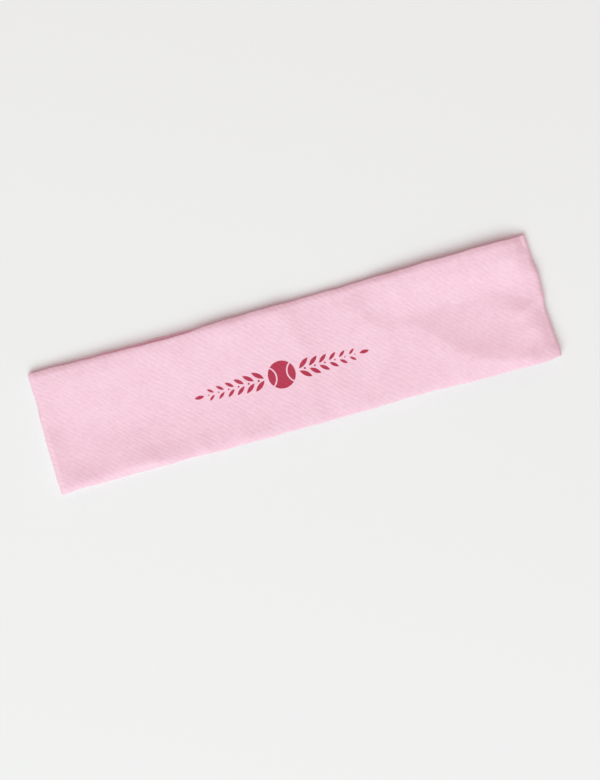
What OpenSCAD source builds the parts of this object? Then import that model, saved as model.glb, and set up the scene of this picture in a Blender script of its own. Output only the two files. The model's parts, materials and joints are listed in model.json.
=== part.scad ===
// Stretch sports headband, laid flat: a double-layer knit loop that is sewn along both
// long edges, turned right side out and joined into a ring at the centre back.
//
// Frame: X along the flat band, Y across its width, Z up. The origin is the middle of the
// underside. The front half lies over the back half, and a thin slit lies between them.
// The loop opens by bending along six lines across the band: two on each half, and one at
// each fold. The knit strips are modelled link by link: flat links between the bending
// lines, and a fold link that goes round each end.

/* [Band] */
// Length of the band laid flat, fold to fold
band_len = 240; // [220:5:280]
// Width of the band, edge to edge
band_w = 59; // [50:1:90]
// Thickness of one layer of knit
knit_t = 0.6; // [0.5:0.05:0.8]
// Half of the slit between the front and back halves
slit_half = 0.5; // [0.45:0.05:1]
// Distance from the middle to each bending line
bend_x = 50; // [45:1:60]
// Distance from the middle to where each fold link begins
fold_link_x = 100; // [95:1:105]

/* [Seams] */
// Width of the allowance turned in along each edge
allowance_w = 7; // [5:0.5:9]
// Thickness of one pressed allowance
allowance_t = 0.5; // [0.45:0.05:0.6]
// Distance from each edge to its line of stitching
stitch_inset = 1.4; // [1.2:0.1:2]
// Diameter of the sewing thread
thread_d = 0.4; // [0.3:0.05:0.5]
// Length of one overlock stitch
overlock_pitch = 2.5; // [2:0.25:4]
// Length of the allowance turned in at the centre-back join
join_allowance = 6; // [5:0.5:8]
// Distance between two closing stitches on the join
closing_pitch = 3; // [2.5:0.25:4]

/* [Care label] */
// Width of the folded satin label
label_w = 12; // [8:1:20]
// Length that the label stands out of the join
label_len = 24; // [15:1:35]
// Distance of the label's middle from the middle of the band
label_y = -12; // [-15:1:15]
// Thickness of the satin
satin_t = 0.2; // [0.15:0.05:0.25]

/* [Print] */
// Length of the printed ornament
print_len = 84; // [60:2:84]
// Diameter of the ball in its middle
ball_d = 13; // [10:0.5:16]
// Distance of the print's middle from the middle of the band along X
print_x = -7; // [-7:1:7]
// Distance of the print's middle from the middle of the band along Y
print_y = -3.5; // [-6:0.5:6]
// Thickness of the print film
film_t = 0.12; // [0.1:0.01:0.2]

/* [Hidden] */

knit_pink = "pink";
lining_pink = "lightpink";
thread_pink = "palevioletred";
print_red = "crimson";

// Depths are measured out from the middle of the slit: the lining's face, the plane where
// the two allowances are sewn together, the inside of the outer layer and its face.
lining_in = slit_half;
lining_out = lining_in + knit_t;
sewn_plane = lining_out + allowance_t;
outer_in = sewn_plane + allowance_t;
outer_out = outer_in + knit_t;
slit_z = outer_out;
fold_x = band_len / 2 - outer_out;

half_w = band_w / 2;
raw_edge = half_w - allowance_w;
stitch_y = half_w - stitch_inset;
edge_r = 0.8;
link_gap = 0.1;
overlap = 1;
thread_r = thread_d / 2;
channel_gap = 0.03;
channel_r = thread_r + channel_gap;
looper_reach = 0.8;
looper_gap = 0.05;
looper_y = raw_edge - thread_r - looper_gap;
tab_gap = 0.2;
tab_half_w = looper_y - looper_reach - thread_d - tab_gap;
join_thread_x = -2 * thread_d;
closing_x = -2;
closing_margin = 2;
closing_share = 0.7;
label_gap = 0.1;
label_stack = 2 * satin_t + label_gap;
front = 1;
back = -1;

// Both ends of each link stop short of the bending lines by link_gap.
function link_span(from, to) = [from + link_gap, to - link_gap];

left_span = link_span(-fold_link_x, -bend_x);
right_span = link_span(bend_x, fold_link_x);
centre_span = link_span(-bend_x, bend_x);
centre_left_span = link_span(-bend_x, 0);
centre_right_span = link_span(0, bend_x);

// Straight stretch of a fold link on each half. end is -1 left and 1 right.
function end_span(end) =
    end < 0 ? [-fold_x, -fold_link_x - link_gap] : [fold_link_x + link_gap, fold_x];

// Points of an arc in the plane, counter-clockwise from a0 to a1.
function arc(centre, r, a0, a1, steps = 5) =
    [for (i = [0 : steps]) centre + r * [cos(a0 + (a1 - a0) * i / steps),
                                         sin(a0 + (a1 - a0) * i / steps)]];

// Section of the outer layer: the face with its long edges turned in.
module outer_section() {
    difference() {
        polygon(concat(
            [[-half_w, sewn_plane], [half_w, sewn_plane]],
            arc([half_w - edge_r, outer_out - edge_r], edge_r, 0, 90),
            arc([edge_r - half_w, outer_out - edge_r], edge_r, 90, 180)));
        translate([-raw_edge, sewn_plane - overlap])
            square([2 * raw_edge, allowance_t + overlap]);
        stitch_channels();
    }
}

// Section of the lining: the same, mirrored about the sewn plane.
module lining_section() {
    lining_r = edge_r / 2;
    difference() {
        polygon(concat(
            [[half_w, sewn_plane], [-half_w, sewn_plane]],
            arc([lining_r - half_w, lining_in + lining_r], lining_r, 180, 270),
            arc([half_w - lining_r, lining_in + lining_r], lining_r, 270, 360)));
        translate([-raw_edge, lining_out])
            square([2 * raw_edge, allowance_t + overlap]);
        stitch_channels();
    }
}

// Holes that the two long lines of stitching run in.
module stitch_channels() {
    for (side = [-1, 1])
        translate([side * stitch_y, sewn_plane]) circle(r = channel_r, $fn = 24);
}

// Runs a section drawn as (Y, depth) along X, on the front or the back half.
module along_link(span, half) {
    translate([0, 0, slit_z])
        mirror([0, 0, half == back ? 1 : 0])
            translate([span[0], 0, 0])
                rotate([90, 0, 90])
                    linear_extrude(height = span[1] - span[0]) children();
}

// Turns a section drawn as (Y, depth) half round a fold. end is -1 left and 1 right.
module round_fold(end) {
    translate([end * fold_x, 0, slit_z])
        mirror([end > 0 ? 1 : 0, 0, 0])
            rotate([-90, 0, 0])
                rotate([0, 0, 90])
                    rotate_extrude(angle = 180, $fn = 48)
                        rotate(-90) mirror([1, 0]) children();
}

// Runs a section round one end of the band: the fold with the stretches beside it.
module fold_link(end) {
    round_fold(end) children();
    for (half = [front, back]) along_link(end_span(end), half) children();
}

module outer_link(span, half) {
    color(knit_pink) along_link(span, half) outer_section();
}

module lining_link(span, half) {
    color(lining_pink) along_link(span, half) lining_section();
}

module outer_fold(end) {
    color(knit_pink) fold_link(end) outer_section();
}

module lining_fold(end) {
    color(lining_pink) fold_link(end) lining_section();
}

// End of the strip turned back into the band at the centre-back join, as a flat tab
// between two depths. side is -1 for the left end and 1 for the right end.
module end_tab(side, depth_in, depth_out) {
    x0 = side < 0 ? -join_allowance : link_gap;
    translate([x0, -tab_half_w, slit_z - depth_out])
        cube([join_allowance - link_gap, 2 * tab_half_w, depth_out - depth_in]);
}

// Hole across the left tab that a thread of the join seam runs in.
module join_channel(depth) {
    translate([join_thread_x, half_w, slit_z - depth])
        rotate([90, 0, 0]) cylinder(r = channel_r, h = band_w, $fn = 24);
}

module outer_back_centre(side) {
    span = side < 0 ? centre_left_span : centre_right_span;
    color(knit_pink) difference() {
        union() {
            along_link(span, back) outer_section();
            end_tab(side, sewn_plane, outer_in);
        }
        join_channel((sewn_plane + outer_in) / 2);
    }
}

module lining_back_centre(side) {
    span = side < 0 ? centre_left_span : centre_right_span;
    color(lining_pink) difference() {
        union() {
            along_link(span, back) lining_section();
            end_tab(side, lining_out, sewn_plane);
        }
        join_channel((lining_out + sewn_plane) / 2);
    }
}

// Zigzag of the overlock's looper thread along a raw edge, as (X, Y) points.
function zigzag(span, y, reach) =
    let (steps = floor((span[1] - span[0]) / (overlock_pitch / 2)))
        [for (i = [0 : steps]) [span[0] + i * overlock_pitch / 2,
                                y - (i % 2) * reach]];

// Closed ribbon round a line of (X, Y) points, of the given width across Y.
function ribbon(line, width) =
    concat([for (p = line) p + [0, -width / 2]],
           [for (i = [len(line) - 1 : -1 : 0]) line[i] + [0, width / 2]]);

// Section of the needle threads of both long edges.
module needle_section() {
    for (side = [-1, 1])
        translate([side * stitch_y, sewn_plane]) circle(r = thread_r, $fn = 24);
}

// Overlock thread along both raw edges of one half.
module overlock(span, half) {
    translate([0, 0, slit_z]) mirror([0, 0, half == back ? 1 : 0])
        for (side = [0, 1]) mirror([0, side, 0])
            translate([0, 0, sewn_plane - thread_r]) linear_extrude(height = thread_d)
                polygon(ribbon(zigzag(span, looper_y, looper_reach), thread_d));
}

// Needle thread and overlock thread of both long edges, for one flat link.
module edge_seams(span, half) {
    color(thread_pink) {
        along_link(span, half) needle_section();
        overlock(span, half);
    }
}

// The same for one fold link. The overlock thread is left out where it turns.
module edge_seams_fold(end) {
    color(thread_pink) {
        fold_link(end) needle_section();
        for (half = [front, back]) overlock(end_span(end), half);
    }
}

// Threads that hold the two ends together at the centre back.
module join_seam() {
    color(thread_pink) for (depth = [(lining_out + sewn_plane) / 2,
                                     (sewn_plane + outer_in) / 2])
        translate([join_thread_x, tab_half_w, slit_z - depth])
            rotate([90, 0, 0]) cylinder(r = thread_r, h = 2 * tab_half_w, $fn = 24);
}

// Row of closing stitches on the lining, which also catches the label.
module join_closing_stitches() {
    stitch_len = closing_pitch * closing_share;
    count = floor((band_w - 2 * closing_margin) / closing_pitch);
    color(thread_pink) for (i = [0 : count - 1]) {
        y = (i - (count - 1) / 2) * closing_pitch;
        on_label = abs(y - label_y) < label_w / 2 + stitch_len / 2;
        z = slit_z - lining_in + (on_label ? label_stack : 0);
        translate([closing_x - thread_r, y - stitch_len / 2, z])
            cube([thread_d, stitch_len, thread_r]);
    }
}

// Satin tape folded in half, its two ends caught in the join: drawn as (X, Z) and run
// along Y.
module care_label() {
    t = label_stack;
    gap_r = t / 2 - satin_t;
    bend = [t / 2 - label_len, t / 2];
    root_x = -link_gap;
    color("white")
        translate([0, label_y + label_w / 2, slit_z - lining_in])
            rotate([90, 0, 0]) linear_extrude(height = label_w)
                polygon(concat(
                    [[root_x, t]], arc(bend, t / 2, 90, 270),
                    [[root_x, 0], [root_x, satin_t]],
                    arc(bend, gap_r, 270, 90), [[root_x, t - satin_t]]));
}

// One leaf of the sprig: a pointed lens between two arcs, its stalk end at the origin.
module leaf(length, width) {
    r = (length * length / 4 + width * width / 4) / width;
    half_angle = asin(length / 2 / r);
    polygon(concat(
        arc([length / 2, width / 2 - r], r, 90 + half_angle, 90 - half_angle, 8),
        arc([length / 2, r - width / 2], r, 270 + half_angle, 270 - half_angle, 8)));
}

// Ball with two curved seam lines cut through it.
module ball() {
    seam_r = ball_d * 0.42;
    seam_x = ball_d * 0.62;
    seam_w = 0.7;
    difference() {
        circle(d = ball_d, $fn = 64);
        for (side = [-1, 1]) translate([side * seam_x, 0])
            difference() {
                circle(r = seam_r + seam_w / 2, $fn = 48);
                circle(r = seam_r - seam_w / 2, $fn = 48);
            }
    }
}

// Sprig that runs out from the ball: pairs of leaves that shrink towards the tip, a berry
// after each pair, and a last leaf in line with the stalk.
module sprig() {
    pairs = 6;
    leaf_l = 6.4;
    leaf_w = 2.1;
    lean = 38;
    stalk_gap = 1.1;
    shrink = 0.09;
    berry_r = 0.5;
    berry_place = 0.55;
    tip_l = 4.6;
    tip_w = leaf_w * 0.8;
    root = ball_d / 2 + 2;
    step = (print_len / 2 - root - tip_l) / pairs;
    for (i = [0 : pairs - 1]) {
        size = 1 - shrink * i;
        x = root + step * i;
        for (side = [-1, 1])
            translate([x, side * stalk_gap / 2]) rotate(side * lean)
                leaf(leaf_l * size, leaf_w * size);
        translate([x + step * berry_place, 0]) circle(r = berry_r * size, $fn = 16);
    }
    translate([root + step * pairs, 0]) leaf(tip_l, tip_w);
}

// Raspberry transfer film on the front: a ball between two leafy sprigs.
module printed_ornament() {
    color(print_red)
        translate([print_x, print_y, slit_z + outer_out]) {
            linear_extrude(height = film_t) ball();
            for (side = [0, 1]) mirror([side, 0, 0])
                linear_extrude(height = film_t) sprig();
        }
}

outer_link(left_span, front);  // outer_front_left
outer_link(centre_span, front);  // outer_front_centre
outer_link(right_span, front);  // outer_front_right
outer_link(left_span, back);  // outer_back_left
outer_back_centre(-1);  // outer_back_centre_left
outer_back_centre(1);  // outer_back_centre_right
outer_link(right_span, back);  // outer_back_right
lining_link(left_span, front);  // lining_front_left
lining_link(centre_span, front);  // lining_front_centre
lining_link(right_span, front);  // lining_front_right
lining_link(left_span, back);  // lining_back_left
lining_back_centre(-1);  // lining_back_centre_left
lining_back_centre(1);  // lining_back_centre_right
lining_link(right_span, back);  // lining_back_right
outer_fold(-1);  // outer_fold_left
outer_fold(1);  // outer_fold_right
lining_fold(-1);  // lining_fold_left
lining_fold(1);  // lining_fold_right
edge_seams(left_span, front);  // edge_seams_front_left
edge_seams(centre_span, front);  // edge_seams_front_centre
edge_seams(right_span, front);  // edge_seams_front_right
edge_seams(left_span, back);  // edge_seams_back_left
edge_seams(centre_left_span, back);  // edge_seams_back_centre_left
edge_seams(centre_right_span, back);  // edge_seams_back_centre_right
edge_seams(right_span, back);  // edge_seams_back_right
edge_seams_fold(-1);  // edge_seams_fold_left
edge_seams_fold(1);  // edge_seams_fold_right
join_seam();
join_closing_stitches();
care_label();
printed_ornament();
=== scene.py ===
"""Looks of the sports headband: a double-layer knit loop laid flat, front half up.

All shapes are worked out in millimetres in the CAD frame and turned into metres when a mesh
is made. A point of the cloth is given by three numbers: s, the distance along the loop from
the middle of the front; v, the distance across the band from its middle line; and depth, the
distance out from the middle of the slit between the two halves.
"""

import json
import math

import bmesh
import bpy
import numpy as np
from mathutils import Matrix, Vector


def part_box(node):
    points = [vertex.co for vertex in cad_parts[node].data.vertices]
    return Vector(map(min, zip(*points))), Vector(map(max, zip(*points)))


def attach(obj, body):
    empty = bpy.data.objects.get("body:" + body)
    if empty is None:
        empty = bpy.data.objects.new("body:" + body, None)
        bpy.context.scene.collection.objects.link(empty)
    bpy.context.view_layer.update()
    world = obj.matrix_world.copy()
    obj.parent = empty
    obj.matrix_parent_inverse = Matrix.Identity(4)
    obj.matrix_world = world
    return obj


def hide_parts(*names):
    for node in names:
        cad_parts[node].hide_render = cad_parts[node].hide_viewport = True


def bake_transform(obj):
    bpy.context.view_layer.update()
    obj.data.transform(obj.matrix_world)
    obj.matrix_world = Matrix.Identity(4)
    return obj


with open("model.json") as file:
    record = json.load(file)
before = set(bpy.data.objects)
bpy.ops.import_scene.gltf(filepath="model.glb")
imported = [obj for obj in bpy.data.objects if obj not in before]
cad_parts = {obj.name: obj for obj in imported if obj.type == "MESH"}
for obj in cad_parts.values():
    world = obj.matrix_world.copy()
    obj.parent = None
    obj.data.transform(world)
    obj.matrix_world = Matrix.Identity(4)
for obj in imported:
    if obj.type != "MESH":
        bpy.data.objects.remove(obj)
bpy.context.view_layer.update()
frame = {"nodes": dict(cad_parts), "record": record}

MM = 0.001

# Places and sizes from the frame.
SLIT_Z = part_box("outer_fold_left")[1].z / 2 / MM
HALF_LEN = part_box("outer_fold_right")[1].x / MM
HALF_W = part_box("outer_front_centre")[1].y / MM
FOLD_X = HALF_LEN - SLIT_Z

# The cloth's section: mid-line depths of the two layers and of their turned-in edges.
CLOTH_T = 0.52
OUTER_FACE, OUTER_TURN = 2.44, 1.90
LINING_FACE, LINING_TURN = 0.76, 1.30
SEWN_DEPTH = 1.60
ALLOWANCE_W = 7.0
RAW_EDGE = HALF_W - ALLOWANCE_W

# Lengths along the loop: a fold goes from FOLD_X to BACK_S, and the join is at JOIN_S. The
# pieces of cloth that go round a fold begin at FOLD_PIECE_X.
FOLD_ARC_R = 1.9
FOLD_S = math.pi * FOLD_ARC_R
BACK_S = FOLD_X + FOLD_S
LOOP_S = 2 * BACK_S + 2 * FOLD_X
JOIN_S = LOOP_S / 2
JOIN_GAP = 0.1
FOLD_PIECE_X = 100.0


def smooth(x, a, b):
    """0 before a, 1 after b, and an even change between them."""
    t = np.clip((np.asarray(x, float) - a) / (b - a), 0, 1)
    return t * t * (3 - 2 * t)


def curve(x, points):
    """A smooth line through (x, value) points."""
    x = np.asarray(x, float)
    out = np.full(x.shape, float(points[0][1]))
    for (x0, y0), (x1, y1) in zip(points, points[1:]):
        out = out + (y1 - y0) * smooth(x, x0, x1)
    return out


# ---------------------------------------------------------------- how the cloth lies

# Creases of the front half. Each is a line of (x, y, height) points, followed by how far its
# slope reaches on the left and on the right as one goes along it, in mm.
CREASES = [
    # the long fold that runs down to the right
    ([(34, 25, 0.6), (35.5, 17, 1.7), (37, 10, 2.1), (43, 4.5, 1.3), (52, 3, 0.5)], 10.5, 20.0),
    ([(50, 4.5, 0.4), (58.5, 1.5, 1.5), (66, -5, 2.4), (74, -14, 3.0), (82, -19.5, 3.1), (90, -23, 2.9),
      (98, -24.8, 3.6), (105, -26.4, 4.5), (111, -28, 3.5), (116, -30.5, 1.7)], 11.0, 36.0),
    # along the top edge, where the turned-in edge stands up
    ([(36, 27, 0.2), (46, 27, 0.6), (72, 27, 0.6), (92, 27.5, 0.45), (112, 27.5, 0.3)], 3.5, 12.0),
    ([(-37, 26, 0.4), (-27, 26, 1.1), (-18, 26, 0.8), (-16, 25, 0.1)], 4.0, 10.0),
    ([(-9, 26, 0.3), (-4, 26, 0.8), (1, 25, 0.4)], 4.0, 9.0),
    ([(-113, 21, 0.2), (-96, 21.5, 0.3), (-80, 22.5, 0.45), (-68, 25, 0.1)], 4.5, 6.0),
    ([(-61, 24, 0.1), (-54, 23, 0.5), (-47, 24, 0.1)], 4.5, 8.0),
    # along the bottom edge
    ([(-119, -28, 1.6), (-110, -28, 2.4), (-102, -28.5, 1.2)], 8.0, 3.5),
    ([(-101, -27.5, 1.2), (-87, -26, 2.0), (-76, -26.5, 2.7), (-66, -28, 2.2), (-56, -29, 0.7)], 9.5, 4.5),
    ([(-55, -28, 0.5), (-50, -27.5, 1.3), (-45, -28, 0.3)], 8.0, 3.5),
    ([(-37, -28, 0.3), (-30, -27.5, 1.2), (-20, -27.5, 0.8), (-12, -28, 0.1)], 6.5, 3.5),
    ([(22, -28, 0.2), (29, -28, 0.8), (36, -28, 0.3), (58, -28, 0.3), (72, -28, 0.2)], 6.0, 3.5),
    # over the join of the back half
    ([(4, 26, 0.5), (4, 0, 1.0), (3, -28, 1.5)], 8.0, 18.0),
    # short ones
    ([(-0.5, 26, 0.5), (1.5, 16, 0.7), (6, 8, 0.5), (15, 4, 0.1)], 4.5, 7.0),
    ([(-121, 3, 0.5), (-121.5, -6, 2.4), (-121.5, -12, 2.1), (-121, -20, 1.7), (-121, -26, 1.2)], 7.0, 4.0),
    ([(97, -2, 0.3), (106, -5, 1.5), (112, -6, 1.6), (118, -6, 1.2)], 7.0, 24.0),
    ([(112, 1, 0.5), (109, -5, 1.8), (109.5, -13, 2.2), (112, -19, 1.0)], 6.0, 28.0),
    ([(107, 29, 0.6), (109, 20, 0.9), (112, 12, 0.3)], 6.5, 24.0),
    ([(103, 13, 0.2), (112, 12, 0.5), (119, 11, 0.6)], 6.0, 7.0),
    ([(9, -17, 0.1), (17, -17.5, 0.9), (26, -19, 0.1)], 8.0, 9.0),
    ([(-102, -14, 0.1), (-87, -15, 0.5), (-74, -12, 0.1)], 8.0, 8.0),
]
CREST_R = 2.0
CHANGE_OVER = 1.5

# How far the long edges wander across the band, as (x, shift) points.
FRONT_TOP = [
    (-120, -0.9), (-77, -1.9), (-55, -2.6), (-20, -1.3), (20, -1.35),
    (50, -1.0), (80, -0.75), (105, -0.7), (120, -0.9),
]
FRONT_LOW = [
    (-120, 0.1), (-60, 0.0), (-36, -0.6), (20, -0.7),
    (58, -0.2), (76, -1.0), (108, -1.3), (120, -0.7),
]
BACK_TOP = [(-120, -0.9), (-60, -1.15), (-25, -1.7), (60, -1.5), (120, -0.5)]
BACK_LOW = [(-120, 0.1), (0, 0.5), (120, -0.2)]

# How far the ends bulge out along the band, as (y, shift) points.
RIGHT_END = [(-30, 1.3), (-18, 0.8), (-1, 0.3), (9, 0.6), (18, -0.5), (29, -0.7)]
LEFT_END = [(-30, -0.2), (-22, 0.6), (-3, 0.9), (6, 1.0), (14, 0.5), (22, 0.9), (29, 1.0)]
END_REACH = 22

# How much lower the right end gets before it turns round its fold, as (y, drop) points.
END_SLOPE = [(-28, 0.0), (-21, 0.8), (-8, 1.2), (1, 0.1), (12, 0.0), (20, 0.9), (25, 1.8)]

# Share of its height that the top edge loses, as (x, share) points.
TOP_PRESS = [
    (-120, 0.26), (-60, 0.29), (-46, 0.29), (-34, 0.25),
    (0, 0.25), (12, 0.30), (40, 0.28), (76, 0.13),
]


def stroke(x, y, points, left, right):
    """A ridge along a line: a narrow crest with its own slope on either side."""
    near, heights = [], []
    for (x0, y0, h0), (x1, y1, h1) in zip(points, points[1:]):
        length = math.dist((x0, y0), (x1, y1))
        ux, uy = (x1 - x0) / length, (y1 - y0) / length
        along = np.clip((x - x0) * ux + (y - y0) * uy, 0, length)
        dx, dy = x - x0 - along * ux, y - y0 - along * uy
        d = np.hypot(dx, dy)
        # the two slopes change over smoothly where the line ends
        lean = (ux * dy - uy * dx) / np.maximum(d, 1e-6)
        reach = right + (left - right) * smooth(lean, -0.6, 0.6)
        fall = (np.sqrt(d * d + CREST_R**2) - CREST_R) / reach
        near.append(d)
        heights.append((h0 + (h1 - h0) * along / length) * np.exp(-fall * (1 + 0.35 * fall)))
    # and where two stretches of the line are equally near
    share = np.exp((np.min(near, axis=0) - near) / CHANGE_OVER)
    return np.sum(share * heights, axis=0) / np.sum(share, axis=0)


def waves(x, y, seed, count, low, high, height):
    """Low seeded undulations with wavelengths between low and high."""
    rng = np.random.default_rng(seed)
    out = np.zeros(np.broadcast(x, y).shape)
    for _ in range(count):
        length, turn, phase = rng.uniform(low, high), rng.uniform(0, np.pi), rng.uniform(0, 7)
        k = 2 * np.pi / length
        out = out + np.sin(k * (x * np.cos(turn) + y * np.sin(turn)) + phase)
    return out * height / math.sqrt(count)


def puckers(x, v):
    """Fine gathers that the edge stitching draws into the cloth."""
    bend = 1.4 * np.sin(x * 0.31) + 1.1 * np.sin(x * 0.83 + 1.3)
    ripple = np.sin(2 * np.pi * x / 3.9 + bend + 0.25 * v) + 0.6 * np.sin(
        2 * np.pi * x / 2.7 + 1.7 * np.sin(x * 0.17)
    )
    depth = curve(x, [(-120, 0.05), (-90, 0.06), (-60, 0.03), (60, 0.03), (120, 0.04)])
    depth = np.where(v > 0, depth, 0.03)
    return depth * ripple * np.exp(-(((np.abs(v) - 26.0) / 3.2) ** 2))


def front_height(s, v):
    """Rise of both layers of the front half, in mm along their normal."""
    x = np.clip(s, -HALF_LEN, HALF_LEN)
    flat = 1 - smooth(np.abs(s), FOLD_X - 13, FOLD_X + 0.3 * FOLD_S)
    keep = 1 - smooth(np.abs(s), FOLD_X, FOLD_X + 0.5 * FOLD_S)
    inner = 1 - np.where(v > 0, smooth(v, 12, 25), smooth(-v, 3, 27))
    # the middle has sunk on to the back half
    rise = -(0.65 + 0.35 * inner) * np.maximum(flat, smooth(x, 100, 110) * smooth(-v, 0, 6))
    # the upper part stands a little proud, on the left and on the right
    rise = rise + flat * 1.4 * smooth(v, -9, 20) * (1 - smooth(x, -45, 20))
    proud = smooth(x, 38, 56) * (1 - smooth(x, 104, 120))
    rise = rise + keep * (1.95 * smooth(v, 6, 22) - 0.35) * proud
    # the seams draw both long edges down, and the right end slopes down to its fold
    rise = rise - 0.25 * keep * np.clip((np.abs(v) - 25.5) / 4.0, 0, 1) ** 2
    rise = rise - keep * curve(v, END_SLOPE) * smooth(x, 112.5, 119)
    for crease in CREASES:
        rise = rise + keep * stroke(x, v, *crease)
    low_waves = waves(x, v, seed=7, count=9, low=18, high=55, height=0.05)
    return rise + keep * (low_waves + puckers(x, v))


def back_height(s, v):
    """Rise of both layers of the back half along their normal, never down past the floor."""
    x = LOOP_S / 2 - np.abs(s)
    keep = smooth(np.abs(s), BACK_S - 0.5 * FOLD_S, BACK_S)
    low_waves = waves(x, v, seed=11, count=8, low=14, high=45, height=0.05)
    return keep * np.minimum(low_waves - 0.12 + 0.6 * puckers(x, v), 0)


def layer_height(s, v, layer):
    """Shift of a layer's mid-line along its normal: the two layers cling between their seams."""
    a = np.abs(s)
    on_front = 1 - smooth(a, FOLD_X, FOLD_X + 0.5 * FOLD_S)
    on_back = smooth(a, BACK_S - 0.3 * FOLD_S, BACK_S + 10)
    inner = 1 - smooth(np.abs(v), 17, 24)
    rise = front_height(s, v) + back_height(s, v)
    if layer == "outer":
        rise = rise - on_front * inner * 0.06
    else:
        # less over the allowances that are turned in at the join
        near_join = 1 - smooth(JOIN_S - a, 6.5, 10.0)
        rise = rise + on_front * inner * 0.12 + on_back * inner * (0.8 - 0.35 * near_join)
    # the join draws the two layers together
    closeness = np.clip((0.8 - (JOIN_S - a)) / 0.7, 0, 1.3) ** 2
    return rise - (0.35 if layer == "outer" else -0.2) * closeness


def edge_shift(s, v):
    """In-plane shift across the band, which makes the long edges wander."""
    front = 1 - smooth(np.abs(s), FOLD_X, BACK_S)
    x = np.where(np.abs(s) < FOLD_X + FOLD_S / 2, s, np.sign(s) * (LOOP_S / 2 - np.abs(s)))
    top = curve(x, FRONT_TOP) * front + curve(x, BACK_TOP) * (1 - front)
    low = curve(x, FRONT_LOW) * front + curve(x, BACK_LOW) * (1 - front)
    q = np.clip(v / HALF_W, -1, 1)
    wander = 0.1 * np.sin(x / 4.1 + v / 9) + 0.07 * np.sin(x / 1.9 + 2)
    return (1 + q) / 2 * top + (1 - q) / 2 * low + wander * np.abs(q) ** 3


def press(x, y):
    """Share of its height that the cloth keeps where its top edge and corner lie flatter."""
    edge = smooth(y, 25.6, 30) * curve(x, TOP_PRESS)
    corner = np.exp(-(((x + 121) / 30) ** 2) - (((y - 31) / 7.5) ** 2))
    tip = np.exp(-(((x + 121) / 7) ** 2) - (((y - 30) / 6) ** 2))
    return 1 - edge - 0.10 * corner + 0.12 * tip


def place(s, v, depth):
    """World position in mm of points of the cloth; the three arguments are arrays."""
    a, end = np.abs(s), np.where(s < 0, -1.0, 1.0)
    turn = np.clip((a - FOLD_X) / FOLD_ARC_R, 0, np.pi)
    x = np.where(a < BACK_S, end * np.minimum(a, FOLD_X), end * (FOLD_X - (a - BACK_S)))
    x = x + end * np.sin(turn) * depth
    z = SLIT_Z + np.cos(turn) * depth
    y = v + edge_shift(s, v)
    bulge = np.where(s > 0, curve(y, RIGHT_END), -curve(y, LEFT_END))
    to_fold = np.minimum(a, 2 * FOLD_X + FOLD_S - a)
    x = x + bulge * smooth(to_fold, FOLD_X - END_REACH, FOLD_X)
    ear = np.exp(-(((x + 120) / 3.5) ** 2) - (((y + 29.5) / 3.0) ** 2))
    return np.stack([x - 0.4 * ear, y - 0.6 * ear, z * press(x, y)], -1)


# ---------------------------------------------------------------- meshes


# Rows of points across a strip: over each allowance, round each turned edge, and over the face.
ALLOWANCE_ROWS, TURN_ROWS, FACE_ROWS = 7, 7, 79


def section_path(face, turned):
    """A layer's mid-line across the band as rows (v, depth, out_v, out_depth, arc)."""
    centre, r = (face + turned) / 2, abs(face - turned) / 2
    sign = 1 if face > turned else -1
    rim = HALF_W - r - CLOTH_T / 2
    rows = [(-v, turned, 0, -sign) for v in np.linspace(RAW_EDGE, rim, ALLOWANCE_ROWS)[:-1]]
    for a in np.linspace(-90, -270, TURN_ROWS)[:-1]:
        c, n = math.cos(math.radians(a)), sign * math.sin(math.radians(a))
        rows.append((-rim + r * c, centre + r * n, c, n))
    rows += [(v, face, 0, sign) for v in np.linspace(-rim, rim, FACE_ROWS)[:-1]]
    for a in np.linspace(90, -90, TURN_ROWS)[:-1]:
        c, n = math.cos(math.radians(a)), sign * math.sin(math.radians(a))
        rows.append((rim + r * c, centre + r * n, c, n))
    rows += [(v, turned, 0, -sign) for v in np.linspace(rim, RAW_EDGE, ALLOWANCE_ROWS)]
    rows = np.array(rows, float)
    steps = np.hypot(*np.diff(rows[:, :2], axis=0).T)
    arc = np.concatenate([[0], np.cumsum(steps)])
    return np.column_stack([rows, arc - arc[-1] / 2])


def grid_normals(points):
    """Outward normals of a grid of rings, from the rows beside each row."""
    along = points[2:] - points[:-2]
    round_ring = np.roll(points, -1, axis=1) - np.roll(points, 1, axis=1)
    n = np.cross(along, round_ring[1:-1])
    return n / np.maximum(np.linalg.norm(n, axis=2, keepdims=True), 1e-9)


def make_mesh(name, points, faces, uvs=None, normals=None):
    """A mesh object from points in mm, with UVs in metres for each corner of each face."""
    mesh = bpy.data.meshes.new(name)
    mesh.from_pydata((np.asarray(points) * MM).tolist(), [], [list(map(int, f)) for f in faces])
    if uvs is not None:
        layer = mesh.uv_layers.new(name="cloth")
        layer.data.foreach_set("uv", (np.asarray(uvs) * MM).ravel())
    mesh.polygons.foreach_set("use_smooth", [True] * len(mesh.polygons))
    mesh.update()
    if normals is not None:
        mesh.normals_split_custom_set_from_vertices(np.asarray(normals).tolist())
    obj = bpy.data.objects.new(name, mesh)
    bpy.context.scene.collection.objects.link(obj)
    return obj


def ring_faces(rows, ring):
    """Faces of a tube of rings, as index arrays."""
    i = np.arange(rows - 1)[:, None] * ring
    k = np.arange(ring)[None, :]
    j = (k + 1) % ring
    return np.stack([i + k, i + j, i + ring + j, i + ring + k], -1).reshape(-1, 4)


def end_caps(rows, ring):
    """Quads that close both ends of a shell whose rings go out on one side and back on the other."""
    k = np.arange(ring // 2 - 1)
    caps = []
    for base in (0, (rows - 1) * ring):
        quad = np.stack([base + k, base + k + 1, base + ring - 2 - k, base + ring - 1 - k], -1)
        caps.append(quad[:, ::-1] if base == 0 else quad)
    return np.concatenate(caps)


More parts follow.
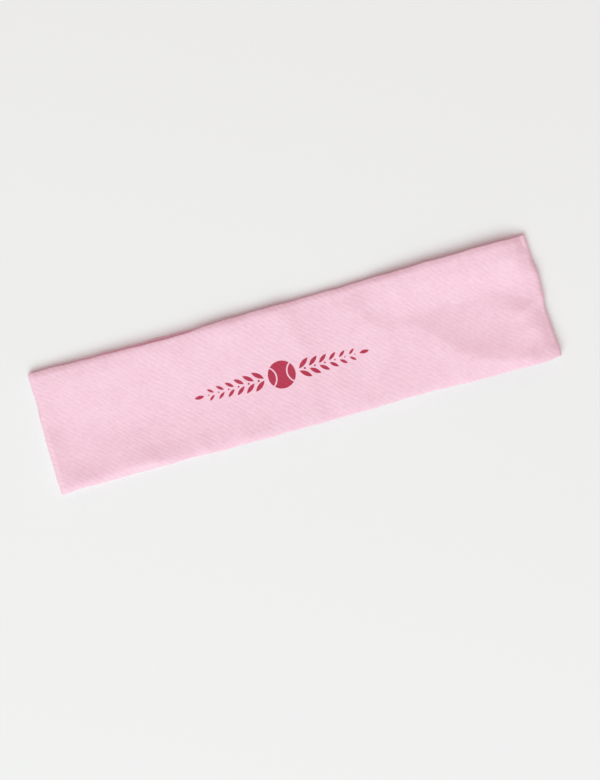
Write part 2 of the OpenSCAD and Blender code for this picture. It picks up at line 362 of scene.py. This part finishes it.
def turned_out(points, faces, normals):
    """The faces, all turned over if they face against the normals."""
    corners = faces[len(faces) // 3]
    a, b, c = points[corners[:3]]
    if np.cross(b - a, c - a) @ normals[corners[0]] < 0:
        return faces[:, ::-1]
    return faces


def cloth_piece(name, layer, stations):
    """One closed shell of a cloth layer between two stations along the loop."""
    if layer == "outer":
        path = section_path(OUTER_FACE, OUTER_TURN)[::-1]
    else:
        path = section_path(LINING_FACE, LINING_TURN)
    v, depth, out_v, out_d, arc = path.T
    # one more row at either end gives the end rows their normals
    before, after = 2 * stations[0] - stations[1], 2 * stations[-1] - stations[-2]
    s = np.concatenate([[before], stations, [after]])[:, None]
    rise = layer_height(s, v[None, :], layer)
    half = CLOTH_T / 2
    outside = place(s, v + out_v * half, depth + out_d * half + rise)
    inside = place(s, v - out_v * half, depth - out_d * half + rise)
    rings = np.concatenate([outside, inside[:, ::-1]], axis=1)
    normals = grid_normals(rings)
    if np.sum((rings[1:-1, :1] - rings[1:-1, -1:]) * normals[:, :1]) < 0:
        normals = -normals
    points, normals = rings[1:-1].reshape(-1, 3), normals.reshape(-1, 3)
    rows, ring = len(stations), rings.shape[1]
    faces = np.concatenate([ring_faces(rows, ring), end_caps(rows, ring)])
    faces = turned_out(points, faces, normals)
    ring_arc = np.concatenate([arc, arc[::-1]])
    uv = np.stack([np.repeat(stations, ring), np.tile(ring_arc, rows)], -1)
    return make_mesh(name, points, faces, uv[faces.ravel()], normals)


def tube(centres, radius, sides=8):
    """Points, faces and UVs of a closed tube along an array of centres in mm."""
    centres = np.asarray(centres, float)
    t = np.gradient(centres, axis=0)
    t /= np.linalg.norm(t, axis=1, keepdims=True)
    up = np.array([0, 1.0, 0]) if abs(t[0][1]) < 0.7 else np.array([0, 0, 1.0])
    a = np.cross(t, up)
    a /= np.linalg.norm(a, axis=1, keepdims=True)
    b = np.cross(t, a)
    turns = np.linspace(0, 2 * np.pi, sides, endpoint=False)
    w = turns[None, :, None]
    ring = centres[:, None] + radius * (np.cos(w) * a[:, None] + np.sin(w) * b[:, None])
    faces = [list(f) for f in ring_faces(len(centres), sides)]
    faces += [list(range(sides))[::-1], [(len(centres) - 1) * sides + k for k in range(sides)]]
    run = np.concatenate([[0], np.cumsum(np.linalg.norm(np.diff(centres, axis=0), axis=1))])
    uv = np.stack([np.repeat(run, sides), np.tile(turns * 0.2, len(centres))], -1)
    return ring.reshape(-1, 3), faces, uv


def join_tubes(name, tubes):
    """One object from several tubes."""
    points, faces, uvs, start = [], [], [], 0
    for p, f, uv in tubes:
        points.append(p)
        faces += [[start + k for k in face] for face in f]
        uvs.append(uv)
        start += len(p)
    uv = np.concatenate(uvs)
    corner = [k for face in faces for k in face]
    obj = make_mesh(name, np.concatenate(points), faces, uv[corner])
    orient(obj)
    return obj


def orient(obj):
    """Turns every face of a closed mesh outwards."""
    bm = bmesh.new()
    bm.from_mesh(obj.data)
    bmesh.ops.recalc_face_normals(bm, faces=bm.faces)
    bm.to_mesh(obj.data)
    bm.free()


# The stitching along the edges: a stitch's length, how deep the thread lies in the groove, how
# much deeper it dips between two stitches, its radius, and the spacing of its rings.
STITCH_LEN = 2.5
THREAD_IN, THREAD_DIP = 0.14, 0.28
THREAD_R = 0.17
THREAD_STEP = 0.42


def edge_thread(name, first, last):
    """The stitching that shows in the groove between the two layers, along both edges."""
    tubes = []
    for side in (-1, 1):
        count = max(8, round(abs(last - first) / THREAD_STEP))
        s = first + (last - first) * np.arange(0, 1.0001, 1 / count)
        dips = np.cos(2 * np.pi * s / STITCH_LEN) > 0.55
        v = side * (HALF_W - THREAD_IN - THREAD_DIP * dips)
        depth = SEWN_DEPTH + front_height(s, v) + back_height(s, v)
        tubes.append(tube(place(s, v, depth), THREAD_R))
    return join_tubes(name, tubes)


# ---------------------------------------------------------------- print, label, stitches


# Points of a mesh that are nearer to each other than this, in metres, are one point.
WELD = 1e-7
# The film's upper side lies just over the cloth, and its underside lies in it.
FILM_UP, FILM_DOWN = 0.075, -0.05


def cut_grid(bm, step, lo, hi):
    """Cuts a mesh along even lines in X and Y, so that it can follow the cloth."""
    for axis in (0, 1):
        normal = [0, 0, 0]
        normal[axis] = 1
        for k in range(math.ceil(lo[axis] / step), math.floor(hi[axis] / step) + 1):
            co = [0, 0, 0]
            co[axis] = k * step
            parts = bm.verts[:] + bm.edges[:] + bm.faces[:]
            bmesh.ops.bisect_plane(bm, geom=parts, plane_co=co, plane_no=normal, dist=WELD)


def print_piece(name, side):
    """The film on one side of the middle line, laid on the creased cloth. side is -1 or 1."""
    node = frame["nodes"]["printed_ornament"]
    lo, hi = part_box("printed_ornament")
    bm = bmesh.new()
    bm.from_mesh(node.data)
    bmesh.ops.remove_doubles(bm, verts=bm.verts, dist=WELD)
    apart = [vert for vert in bm.verts if vert.co.x * side < 0]
    bmesh.ops.delete(bm, geom=apart, context="VERTS")
    cut_grid(bm, MM, lo, hi)
    co = np.array([vert.co for vert in bm.verts]) / MM
    base = lo.z / MM
    v = co[:, 1] - edge_shift(co[:, 0], co[:, 1])
    lift = np.where(co[:, 2] > base + 0.05, FILM_UP, FILM_DOWN)
    depth = OUTER_FACE + CLOTH_T / 2 + layer_height(co[:, 0], v, "outer") + lift
    laid = place(co[:, 0], v, depth) * MM
    for vert, p in zip(bm.verts, laid):
        vert.co = p
    mesh = bpy.data.meshes.new(name)
    bm.to_mesh(mesh)
    bm.free()
    layer = mesh.uv_layers.new(name="cloth")
    index = np.zeros(len(mesh.loops), int)
    mesh.loops.foreach_get("vertex_index", index)
    layer.data.foreach_set("uv", (np.stack([co[:, 0], v], -1)[index] * MM).ravel())
    obj = bpy.data.objects.new(name, mesh)
    bpy.context.scene.collection.objects.link(obj)
    orient(obj)
    return obj


# Care label: the place of its middle line, its size, the thickness of its satin, the heights of
# its two plies over the lining, and where a ply begins at the join and turns at its free end.
LABEL_Y, LABEL_W, LABEL_LEN = -12.0, 12.0, 24.0
SATIN_T = 0.102
LOWER_PLY, UPPER_PLY = 0.10, 0.38
LABEL_ROOT, LABEL_TURN = -0.15, 0.4 - LABEL_LEN


def lining_top(x, v):
    """Height of the back lining's upper side at x on the back half, in mm."""
    s = np.where(x < 0, -1, 1) * (JOIN_S - np.abs(x))
    depth = LINING_FACE - CLOTH_T / 2 + layer_height(s, v, "lining")
    return SLIT_Z - depth


def label_run():
    """The label's mid-line as (x, height) rows: out on the lower ply and back on the upper."""
    middle, r = (UPPER_PLY + LOWER_PLY) / 2, (UPPER_PLY - LOWER_PLY) / 2
    run = [(x, LOWER_PLY) for x in np.linspace(LABEL_ROOT, LABEL_TURN, 34)]
    for a in np.radians(np.linspace(-90, -270, 9)[1:-1]):
        run.append((LABEL_TURN + r * math.cos(a), middle + r * math.sin(a)))
    run += [(x, UPPER_PLY) for x in np.linspace(LABEL_TURN, LABEL_ROOT, 34)]
    return np.array(run)


def care_label():
    """Satin tape folded in half, its cut ends in the join, lying on the back lining."""
    run = label_run()
    t = np.gradient(run, axis=0)
    t /= np.linalg.norm(t, axis=1, keepdims=True)
    out = np.stack([t[:, 1], -t[:, 0]], -1)
    arc = np.concatenate([[0], np.cumsum(np.linalg.norm(np.diff(run, axis=0), axis=1))])
    cols = np.linspace(-LABEL_W / 2, LABEL_W / 2, 21)
    grids = []
    for side in (0.5, -0.5):
        xz = run + out * side * SATIN_T
        x = np.repeat(xz[:, :1], len(cols), 1)
        y = np.repeat(cols[None, :], len(run), 0) + LABEL_Y
        lift = xz[:, 1:] + 0.02 * np.sin(x / 3.1 + y / 2.3)
        z = lining_top(np.minimum(x, -0.1), y) + lift
        grids.append(np.stack([x, y, z], -1))
    rings = np.concatenate([grids[0], grids[1][:, ::-1]], 1)
    rows, ring = rings.shape[:2]
    faces = np.concatenate([ring_faces(rows, ring), end_caps(rows, ring)])
    ring_v = np.concatenate([cols, cols[::-1]])
    uv = np.stack([np.repeat(arc, ring), np.tile(ring_v, rows)], -1)
    obj = make_mesh("care_label_satin", rings.reshape(-1, 3), faces, uv[faces.ravel()])
    orient(obj)
    return obj


# Hand stitches that close the join: how many, their pitch, their length across the band, how
# far they slant along it, where they begin, the thread's radius, and how much higher they pass
# over the label.
HAND_STITCHES = 18
HAND_PITCH, HAND_LEN, HAND_SLANT = 3.0, 2.1, 0.8
HAND_X = -2.2
HAND_THREAD_R = 0.16
LABEL_STACK = 0.48


def closing_stitches():
    """A row of slanting hand stitches along the join, on the lining; they also hold the label."""
    tubes = []
    t = np.linspace(0, 1, 9)
    x = HAND_X + HAND_SLANT * t
    for i in range(HAND_STITCHES):
        middle = (i - (HAND_STITCHES - 1) / 2) * HAND_PITCH
        on_label = abs(middle - LABEL_Y) < LABEL_W / 2 + 1
        y = middle + HAND_LEN * (t - 0.5)
        top = lining_top(x, y) + (LABEL_STACK if on_label else 0)
        z = top + 0.16 * np.sin(np.pi * t) - 0.1
        tubes.append(tube(np.stack([x, y, z], -1), HAND_THREAD_R))
    return join_tubes("closing_stitches", tubes)


# ---------------------------------------------------------------- materials


def material(name):
    """A node material with helpers: returns (material, add, link, shader)."""
    m = bpy.data.materials.new(name)
    m.use_nodes = True
    tree = m.node_tree
    tree.nodes.clear()

    def add(kind, **values):
        node = tree.nodes.new(kind)
        for key, value in values.items():
            if hasattr(node, key):
                setattr(node, key, value)
            else:
                node.inputs[key.replace("_", " ")].default_value = value
        return node

    def link(a, out, b, inp):
        tree.links.new(a.outputs[out], b.inputs[inp])

    shader = add("ShaderNodeBsdfPrincipled")
    output = add("ShaderNodeOutputMaterial")
    link(shader, "BSDF", output, "Surface")
    return m, add, link, shader


def uv_mm(add, link, angle=0.0):
    """Texture space in millimetres from the piece's own UVs, turned by an angle."""
    coord = add("ShaderNodeTexCoord")
    mapping = add("ShaderNodeMapping")
    mapping.inputs["Scale"].default_value = (1 / MM, 1 / MM, 1 / MM)
    mapping.inputs["Rotation"].default_value = (0, 0, angle)
    link(coord, "UV", mapping, "Vector")
    return mapping


# A Wave texture of Scale 1 has a band every 0.314 units.
WAVE_BAND = 0.314


def bands(add, direction, pitch):
    """A Wave texture that has a band every pitch mm along X or Y, in a space of millimetres."""
    scale = WAVE_BAND / pitch
    return add("ShaderNodeTexWave", wave_type="BANDS", bands_direction=direction, Scale=scale)


def mix_colour(add, link, factor, out, dark, light):
    """A colour that goes from dark to light with a 0 to 1 pattern."""
    ramp = add("ShaderNodeValToRGB")
    ramp.color_ramp.elements[0].color = (*dark, 1)
    ramp.color_ramp.elements[1].color = (*light, 1)
    link(factor, out, ramp, "Fac")
    return ramp


def tinted(colour, k):
    """A colour times a number, or times one number for each channel."""
    return tuple(np.minimum(1.0, np.multiply(colour, k)).tolist())


# Painted shade and painted light: the knit's furrows are painted darker and its crowns lighter. The painted
# shade is a deeper pink, not a greyer one: red changes least.
FURROW_SHADE_TINT = (0.94, 0.87, 0.905)
CROWN_LIGHT_TINT = (1.08, 1.13, 1.105)
# The knit's ribs run on a slant. The other pitches are of its courses, the thread's twist and
# the satin's weft.
RIB_ANGLE = math.radians(44.5)
RIB_PITCH, COURSE_PITCH, TWIST_PITCH, WEFT_PITCH = 2.0, 0.7, 0.5, 0.28


def weigh(add, link, node, out, k):
    """A node's output times a number."""
    times = add("ShaderNodeMath", operation="MULTIPLY")
    link(node, out, times, 0)
    times.inputs[1].default_value = k
    return times


def total(add, link, *terms):
    """The sum of several nodes' first outputs."""
    left = terms[0]
    for term in terms[1:]:
        plus = add("ShaderNodeMath", operation="ADD")
        link(left, 0, plus, 0)
        link(term, 0, plus, 1)
        left = plus
    return left


def warped(add, link, space, reach):
    """Texture space that drifts by up to reach mm, so that a pattern in it isn't ruled."""
    drift = add("ShaderNodeTexNoise", Scale=0.035, Detail=1.5)
    link(space, "Vector", drift, "Vector")
    centred = add("ShaderNodeVectorMath", operation="SUBTRACT")
    centred.inputs[1].default_value = (0.5, 0.5, 0.5)
    link(drift, "Color", centred, 0)
    scaled = add("ShaderNodeVectorMath", operation="SCALE")
    scaled.inputs["Scale"].default_value = reach
    link(centred, 0, scaled, 0)
    moved = add("ShaderNodeVectorMath", operation="ADD")
    link(space, "Vector", moved, 0)
    link(scaled, 0, moved, 1)
    return moved


def turn(add, link, vector, angle, scale=(1, 1, 1)):
    """A texture space turned by an angle and scaled."""
    mapping = add("ShaderNodeMapping")
    mapping.inputs["Rotation"].default_value = (0, 0, angle)
    mapping.inputs["Scale"].default_value = scale
    link(vector, 0, mapping, "Vector")
    return mapping


def knit_pattern(add, link):
    """The jersey's ribs, streaks and dashes that break them up, courses, fuzz and mottling."""
    flat = uv_mm(add, link)
    space = warped(add, link, flat, 7.0)
    turned = turn(add, link, space, -RIB_ANGLE)
    ribs = bands(add, "X", RIB_PITCH)
    ribs.inputs["Distortion"].default_value = 1.6
    ribs.inputs["Detail"].default_value = 2.0
    ribs.inputs["Detail Scale"].default_value = 0.5
    link(turned, "Vector", ribs, "Vector")
    patches = add("ShaderNodeTexNoise", Scale=0.16, Detail=2.0, Roughness=0.6)
    link(flat, "Vector", patches, "Vector")
    broken = add("ShaderNodeMath", operation="MULTIPLY")
    link(ribs, "Fac", broken, 0)
    link(patches, "Fac", broken, 1)
    streaks = add("ShaderNodeTexNoise", Scale=1.15, Detail=2.0, Roughness=0.6)
    link(turn(add, link, turned, 0, (1, 0.4, 1)), "Vector", streaks, "Vector")
    dashes = add("ShaderNodeTexNoise", Scale=1.05, Detail=1.0)
    leaning = turn(add, link, turned, -0.3)
    link(turn(add, link, leaning, 0, (1, 0.42, 1)), "Vector", dashes, "Vector")
    loops = bands(add, "Y", COURSE_PITCH)
    loops.inputs["Distortion"].default_value = 2.5
    loops.inputs["Detail Scale"].default_value = 0.8
    link(turned, "Vector", loops, "Vector")
    fuzz = add("ShaderNodeTexNoise", Scale=2.4, Detail=3.0, Roughness=0.7)
    link(flat, "Vector", fuzz, "Vector")
    mottle = add("ShaderNodeTexNoise", Scale=0.08, Detail=4.0, Roughness=0.55)
    link(flat, "Vector", mottle, "Vector")
    return broken, streaks, dashes, loops, fuzz, mottle


def knit_relief(add, link):
    """How crisp the knit is: most in the middle of the front, least towards its right end."""
    coord = add("ShaderNodeTexCoord")
    parts = add("ShaderNodeSeparateXYZ")
    link(coord, "UV", parts, "Vector")
    along = add("ShaderNodeMapRange")
    along.inputs["From Min"].default_value = -HALF_LEN * MM
    along.inputs["From Max"].default_value = HALF_LEN * MM
    link(parts, "X", along, "Value")
    ramp = add("ShaderNodeValToRGB")
    stops = ramp.color_ramp.elements
    stops[0].position, stops[0].color = 0.10, (0.62, 0.62, 0.62, 1)
    stops[1].position, stops[1].color = 0.82, (0.40, 0.40, 0.40, 1)
    for place_along in (0.42, 0.62):
        stops.new(place_along).color = (0.95, 0.95, 0.95, 1)
    link(along, "Result", ramp, "Fac")
    return ramp


def knit_material(name, colour, ribbed):
    """Fine diagonal rib jersey, soft and matte. ribbed is how strong the ribs are."""
    m, add, link, shader = material(name)
    shader.inputs["Roughness"].default_value = 0.9
    shader.inputs["Specular IOR Level"].default_value = 0.2
    shader.inputs["Sheen Weight"].default_value = 0.1
    shader.inputs["Sheen Roughness"].default_value = 0.6
    ribs, streaks, dashes, loops, fuzz, mottle = knit_pattern(add, link)
    shade = total(
        add, link,
        weigh(add, link, ribs, 0, 0.34 * ribbed),
        weigh(add, link, streaks, "Fac", 0.75),
        weigh(add, link, dashes, "Fac", 0.55),
        weigh(add, link, loops, "Fac", 0.08),
        weigh(add, link, fuzz, "Fac", 0.75),
        weigh(add, link, mottle, "Fac", 0.5),
    )
    halved = weigh(add, link, shade, 0, 0.5)
    # painted shade in the furrows of the ribs, streaks, dashes, courses and fuzz, and painted light on
    # their crowns; only the mottle is the yarn's own random tone
    dark, light = tinted(colour, FURROW_SHADE_TINT), tinted(colour, CROWN_LIGHT_TINT)
    ramp = mix_colour(add, link, halved, 0, dark, light)
    ramp.color_ramp.elements[0].position = 0.40
    ramp.color_ramp.elements[1].position = 0.90
    link(ramp, "Color", shader, "Base Color")
    height = total(
        add, link,
        weigh(add, link, ribs, 0, 1.2 * ribbed),
        weigh(add, link, streaks, "Fac", 1.3),
        weigh(add, link, dashes, "Fac", 1.1),
        weigh(add, link, loops, "Fac", 0.3),
        weigh(add, link, fuzz, "Fac", 1.2),
    )
    crisp = add("ShaderNodeMath", operation="MULTIPLY")
    link(height, 0, crisp, 0)
    link(knit_relief(add, link), "Color", crisp, 1)
    bump = add("ShaderNodeBump", Strength=0.5, Distance=0.00014)
    link(crisp, 0, bump, "Height")
    link(bump, "Normal", shader, "Normal")
    return m


def thread_material(colour):
    """Spun thread: twist lines across the strand, with fuzz."""
    m, add, link, shader = material("spun_thread")
    shader.inputs["Roughness"].default_value = 0.7
    shader.inputs["Sheen Weight"].default_value = 0.2
    space = uv_mm(add, link, angle=0.7)
    twist = bands(add, "X", TWIST_PITCH)
    twist.inputs["Distortion"].default_value = 0.8
    link(space, "Vector", twist, "Vector")
    # painted shade in the grooves of the twist and painted light on its ridges: the colour follows the same
    # bands as the bump
    ramp = mix_colour(add, link, twist, "Fac", tinted(colour, 0.8), tinted(colour, 1.1))
    link(ramp, "Color", shader, "Base Color")
    bump = add("ShaderNodeBump", Strength=0.5, Distance=0.00008)
    link(twist, "Fac", bump, "Height")
    link(bump, "Normal", shader, "Normal")
    return m


def satin_material(colour):
    """Woven satin tape: fine weft lines, a soft gloss, and a little soiling."""
    m, add, link, shader = material("satin_tape")
    shader.inputs["Roughness"].default_value = 0.38
    shader.inputs["Sheen Weight"].default_value = 0.15
    shader.inputs["Anisotropic"].default_value = 0.4
    space = uv_mm(add, link)
    weft = bands(add, "Y", WEFT_PITCH)
    weft.inputs["Distortion"].default_value = 0.4
    link(space, "Vector", weft, "Vector")
    haze = add("ShaderNodeTexNoise", Scale=0.3, Detail=3.0)
    link(space, "Vector", haze, "Vector")
    ramp = mix_colour(add, link, haze, "Fac", tinted(colour, 0.93), tinted(colour, 1.04))
    link(ramp, "Color", shader, "Base Color")
    bump = add("ShaderNodeBump", Strength=0.4, Distance=0.00005)
    link(weft, "Fac", bump, "Height")
    link(bump, "Normal", shader, "Normal")
    return m


def film_material(colour):
    """Matte transfer film pressed into the knit: rib relief, mottle and pale worn flecks."""
    m, add, link, shader = material("print_film")
    shader.inputs["Roughness"].default_value = 0.55
    shader.inputs["Specular IOR Level"].default_value = 0.35
    flat = uv_mm(add, link)
    turned = uv_mm(add, link, angle=-RIB_ANGLE)
    ribs = bands(add, "X", RIB_PITCH)
    ribs.inputs["Distortion"].default_value = 0.9
    ribs.inputs["Detail Scale"].default_value = 0.25
    link(turned, "Vector", ribs, "Vector")
    mottle = add("ShaderNodeTexNoise", Scale=0.45, Detail=4.0, Roughness=0.7)
    link(flat, "Vector", mottle, "Vector")
    flecks = add("ShaderNodeTexNoise", Scale=3.2, Detail=2.0)
    link(flat, "Vector", flecks, "Vector")
    ramp = mix_colour(add, link, mottle, "Fac", tinted(colour, 0.85), tinted(colour, 1.2))
    wear = add("ShaderNodeValToRGB")
    wear.color_ramp.elements[0].position = 0.66
    wear.color_ramp.elements[1].position = 0.80
    link(flecks, "Fac", wear, "Fac")
    mix = add("ShaderNodeMix", data_type="RGBA")
    pale = tuple(0.72 * c + 0.28 * p for c, p in zip(colour, (0.90, 0.55, 0.68)))
    mix.inputs[7].default_value = (*pale, 1)
    link(wear, "Color", mix, 0)
    link(ramp, "Color", mix, 6)
    link(mix, 2, shader, "Base Color")
    bump = add("ShaderNodeBump", Strength=0.35, Distance=0.0001)
    link(ribs, "Fac", bump, "Height")
    link(bump, "Normal", shader, "Normal")
    return m


def floor_material():
    """Plain pale matte board with the faintest tooth."""
    m, add, link, shader = material("floor_board")
    shader.inputs["Roughness"].default_value = 0.95
    shader.inputs["Specular IOR Level"].default_value = 0.1
    coord = add("ShaderNodeTexCoord")
    tooth = add("ShaderNodeTexNoise", Scale=900.0, Detail=2.0)
    link(coord, "Object", tooth, "Vector")
    ramp = mix_colour(add, link, tooth, "Fac", (0.832, 0.832, 0.830), (0.852, 0.852, 0.850))
    link(ramp, "Color", shader, "Base Color")
    return m


# ---------------------------------------------------------------- the pieces

RECORD_COLOUR = {m["slot"]: m["base_color"] for m in frame["record"]["materials"]}
MATERIALS = {
    "outer_knit": knit_material("outer_knit", RECORD_COLOUR["outer_knit"], 1.0),
    "lining_knit": knit_material("lining_knit", RECORD_COLOUR["lining_knit"], 0.6),
    "thread": thread_material(RECORD_COLOUR["thread"]),
    "satin": satin_material(RECORD_COLOUR["satin"]),
    "print_film": film_material(RECORD_COLOUR["print_film"]),
}


def finish_piece(obj, slot, replaced):
    """Gives a piece the material of its slot, and hides the CAD nodes that it stands for."""
    obj.data.materials.clear()
    obj.data.materials.append(MATERIALS[slot])
    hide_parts(*replaced)


def steps(a, b, size):
    """Even steps of about a size from a to b."""
    return np.linspace(a, b, max(2, round(abs(b - a) / size) + 1))


OUTERMOST_S = FOLD_X + FOLD_S / 2
BACK_FOLD_S = BACK_S + FOLD_X - FOLD_PIECE_X
# The eight stretches of the loop: name, first and last station, the two bodies that the
# cloth there lies between, and the CAD panels that it stands for.
STRETCHES = [
    ("front_left", -FOLD_PIECE_X, 0, ("front_left", "front_centre"), ["front_left"]),
    ("front_right", 0, FOLD_PIECE_X, ("front_centre", "front_right"), ["front_right", "front_centre"]),
    ("back_left", -(JOIN_S - JOIN_GAP), -BACK_FOLD_S, ("back_left", "back_centre_left"),
     ["back_left", "back_centre_left"]),
    ("back_right", BACK_FOLD_S, JOIN_S - JOIN_GAP, ("back_centre_right", "back_right"),
     ["back_right", "back_centre_right"]),
    ("fold_left_upper", -OUTERMOST_S, -FOLD_PIECE_X, ("left_fold", "front_left"), ["fold_left"]),
    ("fold_left_lower", -BACK_FOLD_S, -OUTERMOST_S, ("left_fold", "back_left"), ["fold_left"]),
    ("fold_right_upper", FOLD_PIECE_X, OUTERMOST_S, ("right_fold", "front_right"), ["fold_right"]),
    ("fold_right_lower", OUTERMOST_S, BACK_FOLD_S, ("right_fold", "back_right"), ["fold_right"]),
]


def stations_of(name, first, last):
    """Rows of cloth along a stretch, closer together round the fold and at the join."""
    if "front" in name:
        return steps(first, last, 0.8)
    lo, hi = sorted((abs(first), abs(last)))
    if "upper" in name:
        marks, sizes = (lo, FOLD_X - 1, hi), (0.9, 0.33)
    elif "lower" in name:
        marks, sizes = (lo, BACK_S + 1, hi), (0.33, 0.9)
    else:
        marks, sizes = (lo, hi - 3, hi - 0.8, hi), (1.2, 0.5, 0.13)
    spans = [steps(a, b, size) for a, b, size in zip(marks, marks[1:], sizes)]
    rows = np.concatenate([span[:-1] for span in spans] + [[hi]])
    return rows if first > 0 else -rows[::-1]


for stretch, first, last, bodies, panels in STRETCHES:
    rows = stations_of(stretch, first, last)
    for layer in ("outer", "lining"):
        piece = cloth_piece(f"{layer}_cloth_{stretch}", layer, rows)
        finish_piece(piece, f"{layer}_knit", [f"{layer}_{p}" for p in panels])
        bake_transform(piece)
    seam = edge_thread(f"edge_thread_{stretch}", first, last)
    finish_piece(seam, "thread", [f"edge_seams_{p}" for p in panels])
    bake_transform(seam)

# The film is cut at the middle of the front: name, side, and the stretch that it lies on.
FILMS = [
    ("print_ball_and_left_sprig", -1, "front_left"),
    ("print_right_sprig", 1, "front_right"),
]
for name, side, stretch in FILMS:
    film = print_piece(name, side)
    finish_piece(film, "print_film", ["printed_ornament"])
    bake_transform(film)

label = care_label()
finish_piece(label, "satin", ["care_label"])
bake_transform(label)

closing = closing_stitches()
finish_piece(closing, "thread", ["join_closing_stitches"])
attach(closing, "back_centre_left")

join_seam = frame["nodes"]["join_seam"]
join_seam.data.materials.clear()
join_seam.data.materials.append(MATERIALS["thread"])


# ---------------------------------------------------------------- floor, light and camera

FLOOR_REACH = 3000
FLOOR_DROP = 0.00005
corners = [(x * FLOOR_REACH, y * FLOOR_REACH, 0) for x, y in ((-1, -1), (1, -1), (1, 1), (-1, 1))]
floor = make_mesh("floor", corners, [(0, 1, 2, 3)])
floor.location.z = -FLOOR_DROP
floor.data.materials.append(floor_material())


def add_light(name, direction, distance, size, power, colour):
    """A large soft area light that looks at the band from a direction."""
    data = bpy.data.lights.new(name, "AREA")
    data.shape = "SQUARE"
    data.size = size
    data.energy = power
    data.color = colour
    light = bpy.data.objects.new(name, data)
    way = Vector(direction).normalized()
    light.location = way * distance
    light.rotation_euler = way.to_track_quat("Z", "Y").to_euler()
    bpy.context.scene.collection.objects.link(light)


# A large window, high up past the band's lower edge and to the left, gives most of the light.
# The room fills the shadows with a warmer light, and pale paper shows past the floor.
WINDOW_ELEVATION = math.radians(56)
WINDOW_WAY = (-0.45, -0.89)
WINDOW_COLOUR = (0.788, 1.061, 1.036)
ROOM_COLOUR = (1.34, 0.895, 0.91, 1)
ROOM_STRENGTH = 0.388
PAPER_COLOUR = (0.83, 0.83, 0.825, 1)


def light_scene():
    """Adds the window and the room, and sets how the picture shows their light."""
    level = math.cos(WINDOW_ELEVATION)
    way = (WINDOW_WAY[0] * level, WINDOW_WAY[1] * level, math.sin(WINDOW_ELEVATION))
    add_light("window", way, distance=4.6, size=3.8, power=195.0, colour=WINDOW_COLOUR)
    world = bpy.data.worlds.new("room")
    world.use_nodes = True
    tree = world.node_tree
    fill = tree.nodes["Background"]
    fill.inputs["Color"].default_value = ROOM_COLOUR
    fill.inputs["Strength"].default_value = ROOM_STRENGTH
    paper = tree.nodes.new("ShaderNodeBackground")
    paper.inputs["Color"].default_value = PAPER_COLOUR
    seen = tree.nodes.new("ShaderNodeLightPath")
    mix = tree.nodes.new("ShaderNodeMixShader")
    tree.links.new(seen.outputs["Is Camera Ray"], mix.inputs[0])
    tree.links.new(fill.outputs[0], mix.inputs[1])
    tree.links.new(paper.outputs[0], mix.inputs[2])
    tree.links.new(mix.outputs[0], tree.nodes["World Output"].inputs["Surface"])
    bpy.context.scene.world = world
    bpy.context.scene.view_settings.view_transform = "Standard"


CAMERA_AT = (-0.000784, -0.01269, 0.860)
CAMERA_TURN = math.radians(-15.66)


def add_camera():
    """Straight above, turned so that the band rises to the right in the picture."""
    data = bpy.data.cameras.new("camera")
    data.lens = 85
    data.sensor_width = 36
    data.clip_end = 20
    camera = bpy.data.objects.new("camera", data)
    camera.location = CAMERA_AT
    camera.rotation_euler = (0, 0, CAMERA_TURN)
    bpy.context.scene.collection.objects.link(camera)
    bpy.context.scene.camera = camera


light_scene()
add_camera()
